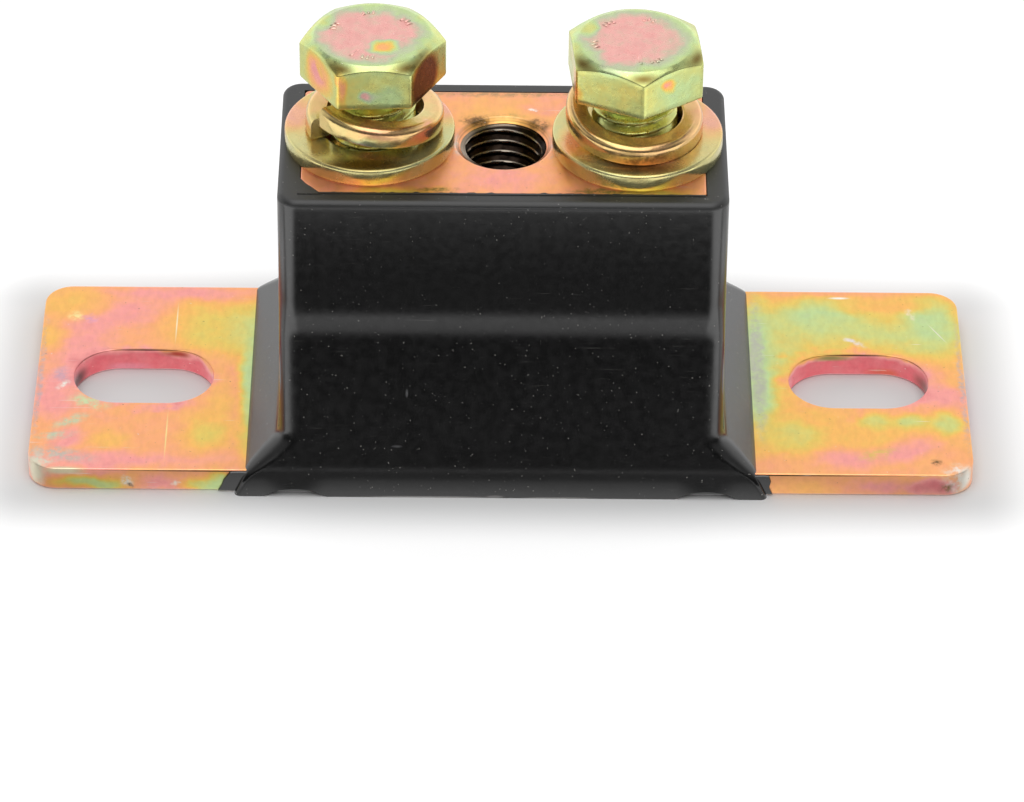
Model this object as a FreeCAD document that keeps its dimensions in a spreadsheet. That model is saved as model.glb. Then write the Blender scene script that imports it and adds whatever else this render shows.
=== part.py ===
import FreeCAD, Part
import math
import os
import types

import Sketcher

# Transmission mount: a slotted steel base plate, a moulded rubber block on it, and a tapped steel
# plate in the top of the block that holds two bolts with their spring washers and flat washers.
# X runs along the base plate, Y across it, Z up. The origin is the centre of the plate's underside.

doc = FreeCAD.newDocument("TransmissionMount")

# Driving dimensions, in millimetres and degrees
DIMENSIONS = (
    ("bolt_spacing", 36.2, "centre to centre of the two outer tapped holes"),
    ("hole_end_distance", 9.9, "centre of an outer tapped hole to the end of the top plate"),
    ("insert_setback", 9.5, "long edge of the base plate to the front of the top plate, seen from above"),
    ("insert_thickness", 10.0, "top plate"),
    ("insert_edge_break", 0.4, "broken upper edges of the top plate"),
    ("thread_diameter", 12.0, "tapped holes, over the thread"),
    ("thread_clearance", 0.05, "between a bolt's shank and its hole, all round"),
    ("mouth_chamfer", 0.75, "countersink at the mouth of a tapped hole"),
    ("side_wall", 3.1, "rubber beyond each end of the top plate"),
    ("rim_wall", 2.4, "rubber in front of the top plate and behind it, at the top"),
    ("block_height", 44.0, "underside of the base plate to the top of the block"),
    ("draft", 0.2, "how far the front and back faces lean out between top and crease"),
    ("crease_height", 24.6, "height of the crease in the front and back faces"),
    ("crease_radius", 17.0, "soft round in the crease"),
    ("skirt_height", 4.5, "height where the slope turns down into the hem"),
    ("skirt_radius", 30.0, "round of that turn"),
    ("hem_wrap", 1.3, "rubber over the base plate's long edges, at the foot of the hem"),
    ("hem_taper", 0.9, "how far the hem leans out between that turn and its foot"),
    ("flare_reach", 4.8, "how far each side flare runs out over the base plate"),
    ("flare_rise", 4.6, "height of the side flares above the base plate"),
    ("flare_radius", 2.0, "hollow round where a side wall turns into its flare"),
    ("hem_run", 1.5, "how far the foot of the hem runs on beyond a flare"),
    ("hem_end_radius", 3.0, "round where a flare turns down into the end of the hem"),
    ("corner_radius", 2.5, "round on the upright corners and on the ridges down to the hem's foot"),
    ("rim_break", 0.7, "broken top edge of the block"),
    ("arch_end_distance", 8.5, "centre of an arch in the hem to the end of the hem's foot"),
    ("arch_width", 8.8, "arch in the hem, along X at its foot"),
    ("arch_rise", 1.3, "arch in the hem, above its foot"),
    ("arch_foot_radius", 3.0, "round where an arch runs out at the foot of the hem"),
    ("well_wall_clearance", 0.6, "round a bolt's end in its blind well in the rubber"),
    ("well_end_clearance", 1.5, "below a fully tightened bolt in its well"),
    ("plate_width", 45.0, "base plate, front to back"),
    ("plate_thickness", 3.6, "base plate"),
    ("plate_corner_radius", 4.0, "base plate corners"),
    ("plate_edge_break", 0.4, "broken upper edges of the base plate and its slots"),
    ("slot_clearance", 5.3, "foot of a side flare to the near end of a slot"),
    ("slot_length", 20.0, "slot, end to end"),
    ("slot_width", 13.0, "slot"),
    ("slot_end_wall", 5.3, "far end of a slot to the end of the base plate"),
    ("bolt_length", 25.0, "under the head to the tip"),
    ("tip_chamfer", 1.1, "cone at a bolt's tip"),
    ("head_across_flats", 17.6, "bolt head"),
    ("head_height", 6.8, "bolt head"),
    ("crown_inset", 0.7, "flat round on top of a bolt head, in from the flats"),
    ("left_head_play", 2.4, "left spring washer to the underside of the left head"),
    ("right_head_play", 1.8, "right spring washer to the underside of the right head"),
    ("left_head_turn", 2.2, "turn of the left head about its axis"),
    ("right_head_turn", 35.5, "turn of the right head about its axis"),
    ("washer_clearance", 0.75, "round the thread in a flat washer"),
    ("washer_band", 5.1, "flat washer, hole to rim"),
    ("washer_thickness", 2.5, "flat washer"),
    ("washer_edge_break", 0.45, "broken upper edge of a flat washer"),
    ("washer_shift", 0.5, "how far each flat washer lies off its bolt, outwards"),
    ("left_washer_setback", 0.55, "how far the left flat washer lies off its bolt, to the back"),
    ("right_washer_advance", 0.3, "how far the right flat washer lies off its bolt, to the front"),
    ("spring_clearance", 0.65, "round the thread in a spring washer"),
    ("spring_section", 2.9, "spring washer, width and thickness of its wire"),
    ("spring_edge_break", 0.8, "broken upper outer edge of the spring washer's wire"),
    ("spring_rise", 3.1, "spring washer, one end above the other"),
    ("spring_gap", 2.0, "opening between the ends of a spring washer"),
    ("spring_cut_lean", 9.0, "lean of the cut ends of a spring washer"),
    ("spring_settle", 0.25, "share of its rise by which a spring washer leans over to lie steady"),
    ("left_gap_heading", 210.4, "direction of the left spring washer's gap, from +X towards +Y"),
    ("right_gap_heading", 92.0, "direction of the right spring washer's gap, from +X towards +Y"),
)

# Room past the part for outlines that cut right through it
CUT_MARGIN = 5.0
# Nearness at which two places count as the same
NEAR = 1e-3
HEX_SIDES = 6
FULL_TURN = 360.0

sheet = doc.addObject("Spreadsheet::Sheet", "Dimensions")
for row, (name, amount, meaning) in enumerate(DIMENSIONS, start=1):
    sheet.set(f"A{row}", name)
    sheet.set(f"B{row}", str(amount))
    sheet.setAlias(f"B{row}", name)
    sheet.set(f"C{row}", meaning)
doc.recompute()


class Measure:
    """A size that carries both its number and the expression that ties it to the sheet."""

    def __init__(self, number, text):
        self.number = number
        self.text = text

    def __add__(self, other):
        other = as_measure(other)
        return Measure(self.number + other.number, f"({self.text} + {other.text})")

    def __sub__(self, other):
        other = as_measure(other)
        return Measure(self.number - other.number, f"({self.text} - {other.text})")

    def __mul__(self, other):
        other = as_measure(other)
        return Measure(self.number * other.number, f"({self.text} * {other.text})")

    def __truediv__(self, other):
        other = as_measure(other)
        return Measure(self.number / other.number, f"({self.text} / {other.text})")

    def __neg__(self):
        return as_measure(0) - self


def as_measure(value):
    """A plain number as a Measure, and a Measure as it is."""
    return value if isinstance(value, Measure) else Measure(float(value), str(value))


def tangent(angle):
    """The tangent of an angle in degrees."""
    return Measure(math.tan(math.radians(angle.number)), f"tan({angle.text} * 1 deg)")


D = types.SimpleNamespace(**{name: Measure(float(sheet.get(name)), f"Dimensions.{name}")
                             for name, _, _ in DIMENSIONS})
ROOT_THREE = Measure(math.sqrt(3), "sqrt(3)")

# Sizes that follow from the driving dimensions, from the tapped holes outwards
D.insert_length = D.bolt_spacing + D.hole_end_distance * 2
D.block_width = D.insert_length + D.side_wall * 2
D.flare_width = D.block_width + D.flare_reach * 2
D.hem_width = D.flare_width + D.hem_run * 2
D.slot_spacing = D.flare_width + D.slot_clearance * 2 + D.slot_length
D.plate_length = D.slot_spacing + D.slot_length + D.slot_end_wall * 2
D.insert_depth = D.plate_width - D.insert_setback * 2
D.rim_depth = D.insert_depth + D.rim_wall * 2
D.crease_depth = D.rim_depth + D.draft * 2
D.foot_depth = D.plate_width + D.hem_wrap * 2
D.skirt_depth = D.foot_depth - D.hem_taper * 2
D.washer_bore = D.thread_diameter + D.washer_clearance * 2
D.washer_diameter = D.washer_bore + D.washer_band * 2
D.spring_bore = D.thread_diameter + D.spring_clearance * 2


def tie(thing, name, measure):
    """Binds one property of an object to the sheet."""
    thing.setExpression(name, as_measure(measure).text)


def new_body(label):
    """An empty body with its own label."""
    body = doc.addObject("PartDesign::Body", label)
    body.Label = label
    return body


def new_sketch(body, name, plane, height=None):
    """A sketch on one of the body's own origin planes, or parallel to it at a height."""
    sketch = body.newObject("Sketcher::SketchObject", name)
    sketch.AttachmentSupport = [(next(face for face in body.Origin.OriginFeatures if face.Role == plane), "")]
    sketch.MapMode = "FlatFace"
    if height:
        tie(sketch, "AttachmentOffset.Base.z", height)
    return sketch


def bind(sketch, kind, where, measure):
    """A dimension of a sketch, tied to the sheet."""
    measure = as_measure(measure)
    number = sketch.addConstraint(Sketcher.Constraint(kind, *where, measure.number))
    tie(sketch, f"Constraints[{number}]", measure)


def bind_point(sketch, geometry, end, across, up):
    """A point of a sketch, held at its place from the origin."""
    bind(sketch, "DistanceX", (-1, 1, geometry, end), across)
    bind(sketch, "DistanceY", (-1, 1, geometry, end), up)


def in_plane(across, up):
    """A point of a sketch from two sizes."""
    return FreeCAD.Vector(as_measure(across).number, as_measure(up).number, 0)


def rounded_corner(before, corner, after, radius):
    """The arc that rounds a corner, where it meets both sides, and whether it runs with the outline."""
    back = (before - corner).normalize()
    onward = (after - corner).normalize()
    half_angle = back.getAngle(onward) / 2
    start = corner + back * (radius / math.tan(half_angle))
    end = corner + onward * (radius / math.tan(half_angle))
    centre = corner + (back + onward).normalize() * (radius / math.sin(half_angle))
    turns_left = (corner - before).cross(after - corner).z > 0
    first, last = (start, end) if turns_left else (end, start)
    angles = [math.atan2(point.y - centre.y, point.x - centre.x) for point in (first, last)]
    circle = Part.Circle(centre, FreeCAD.Vector(0, 0, 1), radius)
    return Part.ArcOfCircle(circle, *angles), start, end, turns_left


def draw_outline(sketch, corners):
    """A closed outline through its corners, each an across, an up and, for a round one, a radius."""
    places = [in_plane(*corner[:2]) for corner in corners]
    count = len(corners)
    arcs = {}
    starts = list(places)
    ends = list(places)
    for index, corner in enumerate(corners):
        if len(corner) > 2:
            arc, ends[index], starts[index], turns_left = rounded_corner(
                places[index - 1], places[index], places[(index + 1) % count], corner[2].number)
            arcs[index] = (arc, turns_left)
    first = sketch.GeometryCount
    for index in range(count):
        sketch.addGeometry(Part.LineSegment(starts[index], ends[(index + 1) % count]), False)
    for index, corner in enumerate(corners):
        line = first + index
        previous = first + (index - 1) % count
        if index not in arcs:
            sketch.addConstraint(Sketcher.Constraint("Coincident", previous, 2, line, 1))
            bind_point(sketch, line, 1, *corner)
            continue
        arc, turns_left = arcs[index]
        number = sketch.addGeometry(arc, False)
        near, far = (1, 2) if turns_left else (2, 1)
        sketch.addConstraint(Sketcher.Constraint("Tangent", previous, 2, number, near))
        sketch.addConstraint(Sketcher.Constraint("Tangent", number, far, line, 1))
        bind(sketch, "Radius", (number,), corner[2])
        point = sketch.addGeometry(Part.Point(places[index]), True)
        bind_point(sketch, point, 1, *corner[:2])
        sketch.addConstraint(Sketcher.Constraint("PointOnObject", point, 1, previous))
        sketch.addConstraint(Sketcher.Constraint("PointOnObject", point, 1, line))


def draw_circle(sketch, across, up, diameter):
    """A circle by its centre and diameter."""
    upright = FreeCAD.Vector(0, 0, 1)
    circle = sketch.addGeometry(Part.Circle(in_plane(across, up), upright, diameter.number / 2), False)
    bind_point(sketch, circle, 3, across, up)
    bind(sketch, "Diameter", (circle,), diameter)


def draw_slot(sketch, centre, length, width):
    """A slot along the sketch's horizontal axis: two half circles and two straight sides."""
    radius = width / 2
    reach = (length - width) / 2
    upright = FreeCAD.Vector(0, 0, 1)
    quarter = math.pi / 2

    def half_circle(across, start):
        circle = Part.Circle(in_plane(across, 0), upright, radius.number)
        return sketch.addGeometry(Part.ArcOfCircle(circle, start, start + 2 * quarter), False)

    near = half_circle(centre - reach, quarter)
    far = half_circle(centre + reach, -quarter)
    top = sketch.addGeometry(Part.LineSegment(in_plane(centre + reach, radius),
                                              in_plane(centre - reach, radius)), False)
    bottom = sketch.addGeometry(Part.LineSegment(in_plane(centre - reach, -radius),
                                                 in_plane(centre + reach, -radius)), False)
    for line, start, end in ((top, (far, 2), (near, 1)), (bottom, (near, 2), (far, 1))):
        sketch.addConstraint(Sketcher.Constraint("Tangent", line, 1, *start))
        sketch.addConstraint(Sketcher.Constraint("Tangent", line, 2, *end))
    bind(sketch, "Radius", (near,), radius)
    bind_point(sketch, near, 3, centre - reach, 0)
    bind_point(sketch, far, 3, centre + reach, 0)


def rectangle(width, depth):
    """The corners of a rectangle about the origin."""
    half_width = width / 2
    half_depth = depth / 2
    return [(half_width, half_depth), (-half_width, half_depth),
            (-half_width, -half_depth), (half_width, -half_depth)]


def flipped(corners):
    """The same corners on the other side of the vertical axis."""
    return [(-corner[0], *corner[1:]) for corner in corners]


def add_material(body, name, sketch, length, midplane=False, downwards=False):
    """A pad of a sketch."""
    feature = body.newObject("PartDesign::Pad", name)
    feature.Profile = sketch
    feature.Midplane = midplane
    feature.Reversed = downwards
    tie(feature, "Length", length)
    doc.recompute()
    return feature


def cut_material(body, name, sketch, depth=None, ahead=False):
    """A pocket behind a sketch or ahead of it to a depth, or right through on both sides of it."""
    before = body.Shape.Volume
    feature = body.newObject("PartDesign::Pocket", name)
    feature.Profile = sketch
    feature.Reversed = ahead
    if depth:
        tie(feature, "Length", depth)
    else:
        feature.Type = "ThroughAll"
        feature.Midplane = True
    doc.recompute()
    assert body.Shape.Volume < before - NEAR, f"{name} cuts nothing"
    return feature


def dress(body, kind, name, base, chosen, amount):
    """A Fillet or a Chamfer on those edges of a feature that a test picks."""
    edges = [f"Edge{number}" for number, edge in enumerate(base.Shape.Edges, start=1) if chosen(edge)]
    assert edges, f"{name} finds no edge"
    feature = body.newObject(f"PartDesign::{kind}", name)
    feature.Base = (base, edges)
    tie(feature, "Radius" if kind == "Fillet" else "Size", amount)
    doc.recompute()
    assert "Invalid" not in feature.State and feature.Shape.isValid(), f"{name} failed"
    return feature


def middle(edge):
    """The point half-way along an edge."""
    return edge.valueAt((edge.FirstParameter + edge.LastParameter) / 2)


def heading(edge):
    """The direction of an edge half-way along it."""
    return edge.tangentAt((edge.FirstParameter + edge.LastParameter) / 2)


def lies_at_height(edge, measure):
    """Whether a whole edge lies at one height."""
    box = edge.BoundBox
    return abs(box.ZMin - measure.number) < NEAR and abs(box.ZMax - measure.number) < NEAR


# Base plate

def make_base_plate():
    """Stamped plate with round corners, a slot in each wing and broken upper edges."""
    body = new_body("base_plate")
    outline = new_sketch(body, "PlateOutline", "XY_Plane")
    draw_outline(outline, rectangle(D.plate_length, D.plate_width))
    plate = add_material(body, "Plate", outline, D.plate_thickness)
    dress(body, "Fillet", "PlateCorners", plate, lambda edge: abs(heading(edge).z) > 1 - NEAR,
          D.plate_corner_radius)
    opening = new_sketch(body, "SlotOutline", "XY_Plane")
    draw_slot(opening, D.slot_spacing / 2, D.slot_length, D.slot_width)
    slot = cut_material(body, "Slot", opening)
    both_slots = body.newObject("PartDesign::Mirrored", "BothSlots")
    both_slots.Originals = [slot]
    both_slots.MirrorPlane = (outline, ["V_Axis"])
    body.Tip = both_slots
    doc.recompute()
    dress(body, "Chamfer", "BrokenEdges", both_slots, lambda edge: lies_at_height(edge, D.plate_thickness),
          D.plate_edge_break)
    return body


# Top plate

def hole_places():
    """The places of the three tapped holes along X."""
    return (-(D.bolt_spacing / 2), as_measure(0), D.bolt_spacing / 2)


def make_top_plate():
    """Thick steel plate, flush with the top of the block, with three tapped holes in a row."""
    body = new_body("top_plate")
    outline = new_sketch(body, "InsertOutline", "XY_Plane", D.block_height)
    draw_outline(outline, rectangle(D.insert_length, D.insert_depth))
    plate = add_material(body, "Insert", outline, D.insert_thickness, downwards=True)
    dress(body, "Chamfer", "BrokenEdges", plate, lambda edge: lies_at_height(edge, D.block_height),
          D.insert_edge_break)
    circles = new_sketch(body, "HoleCircles", "XY_Plane", D.block_height)
    for place in hole_places():
        draw_circle(circles, place, 0, D.thread_diameter)
    holes = cut_material(body, "TappedHoles", circles, D.insert_thickness)

    def at_a_mouth(edge):
        return edge.Closed and lies_at_height(edge, D.block_height)

    dress(body, "Chamfer", "Mouths", holes, at_a_mouth, D.mouth_chamfer)
    return body


# Rubber block

def make_block_envelope(body):
    """The block's front and back faces: upright above the crease, sloping out to the hem below it."""
    profile = new_sketch(body, "FrontAndBack", "YZ_Plane")
    back = [(D.rim_depth / 2, D.block_height), (D.crease_depth / 2, D.crease_height, D.crease_radius),
            (D.skirt_depth / 2, D.skirt_height, D.skirt_radius), (D.foot_depth / 2, as_measure(0))]
    draw_outline(profile, back + flipped(back)[::-1])
    return add_material(body, "Envelope", profile, D.hem_width, midplane=True)


def shape_block_sides(body):
    """The upright side walls, which flare out onto the base plate and turn down to the hem's foot."""
    sides = new_sketch(body, "Sides", "XZ_Plane")
    above = D.block_height + CUT_MARGIN
    outside = D.hem_width / 2 + CUT_MARGIN
    flare_top = D.plate_thickness + D.flare_rise
    right = [(D.block_width / 2, above), (D.block_width / 2, flare_top, D.flare_radius),
             (D.flare_width / 2, D.plate_thickness, D.hem_end_radius), (D.hem_width / 2, as_measure(0)),
             (outside, as_measure(0)), (outside, above)]
    draw_outline(sides, right)
    draw_outline(sides, flipped(right))
    return cut_material(body, "SideWalls", sides)


def round_block(body, base):
    """The moulded rounds on the upright corners and the ridges below them, and the broken top rim."""
    corners = dress(body, "Fillet", "Corners", base, lambda edge: abs(heading(edge).z) > NEAR,
                    D.corner_radius)
    return dress(body, "Chamfer", "Rim", corners, lambda edge: lies_at_height(edge, D.block_height),
                 D.rim_break)


def seat_block(body):
    """The spaces that the base plate, the top plate and the bolt ends take up in the rubber."""
    plate_space = new_sketch(body, "PlateSpace", "YZ_Plane")
    half_width = D.plate_width / 2
    draw_outline(plate_space, [(half_width, as_measure(-CUT_MARGIN)), (half_width, D.plate_thickness),
                               (-half_width, D.plate_thickness), (-half_width, as_measure(-CUT_MARGIN))])
    cut_material(body, "PlateSeat", plate_space)
    insert_space = new_sketch(body, "InsertSpace", "XY_Plane", D.block_height)
    draw_outline(insert_space, rectangle(D.insert_length, D.insert_depth))
    cut_material(body, "InsertSeat", insert_space, D.insert_thickness)
    wells = new_sketch(body, "WellCircles", "XY_Plane", D.block_height - D.insert_thickness)
    for place in hole_places():
        draw_circle(wells, place, 0, D.thread_diameter + D.well_wall_clearance * 2)
    reach = D.bolt_length - D.washer_thickness - D.spring_section - D.insert_thickness
    cut_material(body, "BoltWells", wells, reach + D.well_end_clearance)


def trim_hem(body):
    """The arches in the hem, which run out softly at its foot."""
    arches = new_sketch(body, "ArchCircles", "XZ_Plane")
    half_run = D.hem_width / 2 - D.arch_end_distance
    half_arch = D.arch_width / 2
    diameter = (half_arch * half_arch + D.arch_rise * D.arch_rise) / D.arch_rise
    for place in (-half_run, half_run):
        draw_circle(arches, place, D.arch_rise - diameter / 2, diameter)
    cut = cut_material(body, "HemArches", arches)

    def at_an_arch_foot(edge):
        off_centre = abs(abs(middle(edge).x) - half_run.number)
        runs_across = abs(heading(edge).y) > 1 - NEAR
        return runs_across and abs(off_centre - half_arch.number) < NEAR and abs(middle(edge).z) < NEAR

    dress(body, "Fillet", "ArchFeet", cut, at_an_arch_foot, D.arch_foot_radius)


def make_rubber_block():
    """Moulded block, bonded to the base plate and round the top plate."""
    body = new_body("rubber_block")
    make_block_envelope(body)
    walls = shape_block_sides(body)
    round_block(body, walls)
    seat_block(body)
    trim_hem(body)
    return body


# Bolts

def part_object(kind, name, **sizes):
    """A simple solid with its sizes tied to the sheet."""
    thing = doc.addObject(f"Part::{kind}", name)
    for key, measure in sizes.items():
        tie(thing, key, measure)
    return thing


def make_bolt(label, place, head_play, turn):
    """Hex bolt, threaded to the head, standing in its tapped hole with the head off the washers."""
    flats = part_object("Prism", f"{label}_flats", Circumradius=D.head_across_flats / ROOT_THREE,
                        Height=D.head_height)
    flats.Polygon = HEX_SIDES
    crown_radius = D.head_across_flats / 2 - D.crown_inset
    crown = part_object("Cone", f"{label}_crown", Radius1=crown_radius + D.head_height * ROOT_THREE,
                        Radius2=crown_radius, Height=D.head_height)
    head = doc.addObject("Part::Common", f"{label}_head")
    head.Base = flats
    head.Tool = crown
    shank_radius = D.thread_diameter / 2 - D.thread_clearance
    shank = part_object("Cylinder", f"{label}_shank", Radius=shank_radius,
                        Height=D.bolt_length - D.tip_chamfer)
    tie(shank, "Placement.Base.z", D.tip_chamfer - D.bolt_length)
    tip = part_object("Cone", f"{label}_tip", Radius1=shank_radius - D.tip_chamfer, Radius2=shank_radius,
                      Height=D.tip_chamfer)
    tie(tip, "Placement.Base.z", -D.bolt_length)
    bolt = doc.addObject("Part::MultiFuse", label)
    bolt.Label = label
    bolt.Shapes = [head, shank, tip]
    bolt.Refine = True
    bolt.Placement.Rotation = FreeCAD.Rotation(FreeCAD.Vector(0, 0, 1), turn.number)
    tie(bolt, "Placement.Rotation.Angle", turn)
    tie(bolt, "Placement.Base.x", place)
    spring_top = D.block_height + D.washer_thickness + D.spring_rise + D.spring_section
    tie(bolt, "Placement.Base.z", spring_top + head_play)
    return bolt


# Washers

def make_flat_washer(label, across, back):
    """Punched washer that lies loose on the top plate."""
    body = new_body(label)
    section = new_sketch(body, f"{label}_section", "XZ_Plane")
    inner = D.washer_bore / 2
    outer = D.washer_diameter / 2
    draw_outline(section, [(inner, as_measure(0)), (outer, as_measure(0)), (outer, D.washer_thickness),
                           (inner, D.washer_thickness)])
    ring = body.newObject("PartDesign::Revolution", f"{label}_ring")
    ring.Profile = section
    ring.ReferenceAxis = (section, ["V_Axis"])
    ring.Angle = FULL_TURN
    doc.recompute()

    def on_outer_rim(edge):
        outside = edge.BoundBox.XMax > inner.number + NEAR
        return edge.Closed and outside and lies_at_height(edge, D.washer_thickness)

    dress(body, "Chamfer", f"{label}_broken_edge", ring, on_outer_rim, D.washer_edge_break)
    tie(body, "Placement.Base.x", across)
    tie(body, "Placement.Base.y", back)
    tie(body, "Placement.Base.z", D.block_height)
    return body


def make_spring_washer(label):
    """One left-handed turn of square wire, cut open on a slant, leaning so that it lies steady."""
    body = new_body(label)
    section = new_sketch(body, f"{label}_section", "XZ_Plane")
    inner = D.spring_bore / 2
    outer = inner + D.spring_section
    draw_outline(section, [(inner, as_measure(0)), (outer, as_measure(0)),
                           (outer, D.spring_section - D.spring_edge_break),
                           (outer - D.spring_edge_break, D.spring_section), (inner, D.spring_section)])
    coil = body.newObject("PartDesign::AdditiveHelix", f"{label}_coil")
    coil.Profile = section
    coil.ReferenceAxis = (section, ["V_Axis"])
    coil.Mode = "pitch-turns-angle"
    coil.Turns = 1
    coil.LeftHanded = True
    tie(coil, "Pitch", D.spring_rise)
    doc.recompute()
    cut = new_sketch(body, f"{label}_cut", "YZ_Plane")
    half_gap = D.spring_gap / 2
    top = D.spring_rise + D.spring_section
    drift = tangent(D.spring_cut_lean) * (top / 2 + CUT_MARGIN)
    below = as_measure(-CUT_MARGIN)
    above = top + CUT_MARGIN
    draw_outline(cut, [(drift - half_gap, below), (drift + half_gap, below),
                       (-drift + half_gap, above), (-drift - half_gap, above)])
    cut_material(body, f"{label}_opening", cut, outer + CUT_MARGIN, ahead=True)
    return body


def lay_spring_washer(body, place, gap_heading):
    """Leans a spring washer over and lowers it onto its flat washer."""
    mean_radius = (D.spring_bore.number + D.spring_section.number) / 2
    lean = math.degrees(math.atan(D.spring_settle.number * D.spring_rise.number / mean_radius))
    turn = FreeCAD.Rotation(FreeCAD.Vector(0, 0, 1), gap_heading.number)
    raised = FreeCAD.Rotation(FreeCAD.Vector(0, 1, 0), -lean)
    body.Placement = FreeCAD.Placement(FreeCAD.Vector(place.number, 0, 0), turn * raised)
    seat = D.block_height.number + D.washer_thickness.number
    drop = body.Shape.optimalBoundingBox().ZMin
    body.Placement.Base.z = seat - drop


def check_document(parts):
    """Every object has to be sound, and each sub-part one valid solid."""
    doc.recompute()
    for thing in doc.Objects:
        assert not {"Invalid", "Error"} & set(thing.State), f"{thing.Name} failed"
    for part in parts:
        assert not part.Shape.isNull() and part.Shape.isValid(), f"{part.Label} is not a valid shape"
        assert len(part.Shape.Solids) == 1, f"{part.Label} is not one solid"


left_place, _, right_place = hole_places()
parts = [
    make_base_plate(),
    make_top_plate(),
    make_rubber_block(),
    make_bolt("bolt_left", left_place, D.left_head_play, D.left_head_turn),
    make_bolt("bolt_right", right_place, D.right_head_play, D.right_head_turn),
    make_flat_washer("flat_washer_left", left_place - D.washer_shift, D.left_washer_setback),
    make_flat_washer("flat_washer_right", right_place + D.washer_shift, -D.right_washer_advance),
]
for label, place, gap_heading in (("spring_washer_left", left_place, D.left_gap_heading),
                                  ("spring_washer_right", right_place, D.right_gap_heading)):
    washer = make_spring_washer(label)
    lay_spring_washer(washer, place, gap_heading)
    parts.append(washer)

check_document(parts)
os.makedirs("parts", exist_ok=True)
for part in parts:
    part.Shape.exportStep(f"parts/{part.Label}.step")
    print(part.Label, round(part.Shape.Volume, 1), part.Shape.BoundBox)
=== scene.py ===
import math

import bmesh
import bpy
from mathutils import Matrix, Vector, noise


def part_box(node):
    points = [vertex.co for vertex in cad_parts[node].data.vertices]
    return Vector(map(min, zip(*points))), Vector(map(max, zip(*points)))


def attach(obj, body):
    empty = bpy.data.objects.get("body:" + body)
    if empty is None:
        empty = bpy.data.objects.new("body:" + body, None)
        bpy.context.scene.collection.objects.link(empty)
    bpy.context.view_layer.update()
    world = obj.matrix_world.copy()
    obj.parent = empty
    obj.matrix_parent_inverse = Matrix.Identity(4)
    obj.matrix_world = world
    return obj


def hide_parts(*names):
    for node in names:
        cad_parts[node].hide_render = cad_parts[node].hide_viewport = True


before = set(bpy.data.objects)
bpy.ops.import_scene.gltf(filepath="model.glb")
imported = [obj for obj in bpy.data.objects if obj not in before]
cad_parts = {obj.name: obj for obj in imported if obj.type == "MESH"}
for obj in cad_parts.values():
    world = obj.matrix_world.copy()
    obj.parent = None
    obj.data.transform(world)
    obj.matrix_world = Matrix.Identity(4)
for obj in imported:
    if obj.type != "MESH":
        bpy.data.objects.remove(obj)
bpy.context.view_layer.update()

MM = 0.001


def extent(node):
    """The low and the high corner of a solid, in millimetres."""
    low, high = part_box(node)
    return [c / MM for c in low], [c / MM for c in high]


def middle(node):
    """The place along X and Y of a solid's centre, in millimetres."""
    low, high = extent(node)
    return (low[0] + high[0]) / 2, (low[1] + high[1]) / 2


# Sizes that come from the solids, in millimetres
PLATE_X, PLATE_Y, TOP = extent("base_plate")[1]
FRONT = -PLATE_Y
INSERT_X, INSERT_Y, INSERT_TOP = extent("top_plate")[1]
INSERT_FOOT = extent("top_plate")[0][2]
LEFT_HEAD_TOP = extent("bolt_left")[1][2]
RIGHT_HEAD_TOP = extent("bolt_right")[1][2]
BOLT_X = middle("bolt_right")[0]
HEM_Y = extent("rubber_block")[1][1]
FLAT_WASHER_TOP = extent("flat_washer_left")[1][2]

# Sizes of the pieces that the solids' boxes don't give, in millimetres and degrees
SLOT_X, SLOT_LENGTH, SLOT_WIDTH = 51.2, 20.0, 13.0
PLATE_CORNER, INSERT_CORNER = 4.0, 0.8
HOLE_RADIUS, PITCH = 6.0, 1.75
HEAD_FLAT, HEAD_HEIGHT, CROWN_RADIUS, BOLT_LENGTH = 8.8, 6.8, 8.1, 25.0
LEFT_HEAD_TURN, RIGHT_HEAD_TURN = 2.2, 35.5
LEFT_GAP_HEADING, RIGHT_GAP_HEADING = 210.4, 92.0
BLOCK_X, BLOCK_Y, CREASE_Z = 31.1, 15.4, 24.6
FLARE_X, FOOT_X, FLARE_TOP = 35.9, 37.4, 8.2
ARCH_X, ARCH_HALF, ARCH_RISE, ARCH_FADE = 28.9, 4.4, 1.3, 3.0
RIM_ROLL = 0.9


# Meshes, drawn in millimetres

def piece(name, points, faces, finish, slot, *nodes, sharp=35):
    """A mesh that rides on the part and stands for its CAD node."""
    mesh = bpy.data.meshes.new(name)
    mesh.from_pydata([tuple(c * MM for c in p) for p in points], [], faces)
    mesh.validate()
    work = bmesh.new()
    work.from_mesh(mesh)
    bmesh.ops.recalc_face_normals(work, faces=work.faces)
    work.to_mesh(mesh)
    work.free()
    mesh.materials.append(finish)
    mesh.shade_smooth()
    mesh.set_sharp_from_angle(angle=math.radians(sharp))
    thing = bpy.data.objects.new(name, mesh)
    bpy.context.scene.collection.objects.link(thing)
    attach(thing, "root")
    if nodes:
        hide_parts(*nodes)
    return thing


def join_rings(rings, around=True, along=False):
    """Points and faces of a skin over rings with equal counts of points."""
    count = len(rings[0])
    points = [p for ring in rings for p in ring]
    faces = []
    for i in range(len(rings) if along else len(rings) - 1):
        a, b = i * count, (i + 1) % len(rings) * count
        for j in range(count if around else count - 1):
            k = (j + 1) % count
            faces.append((a + j, a + k, b + k, b + j))
    return points, faces


def merge(*skins):
    """Several skins as one list of points and one of faces."""
    points, faces = [], []
    for more_points, more_faces in skins:
        start = len(points)
        points += more_points
        faces += [tuple(start + i for i in face) for face in more_faces]
    return points, faces


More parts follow.
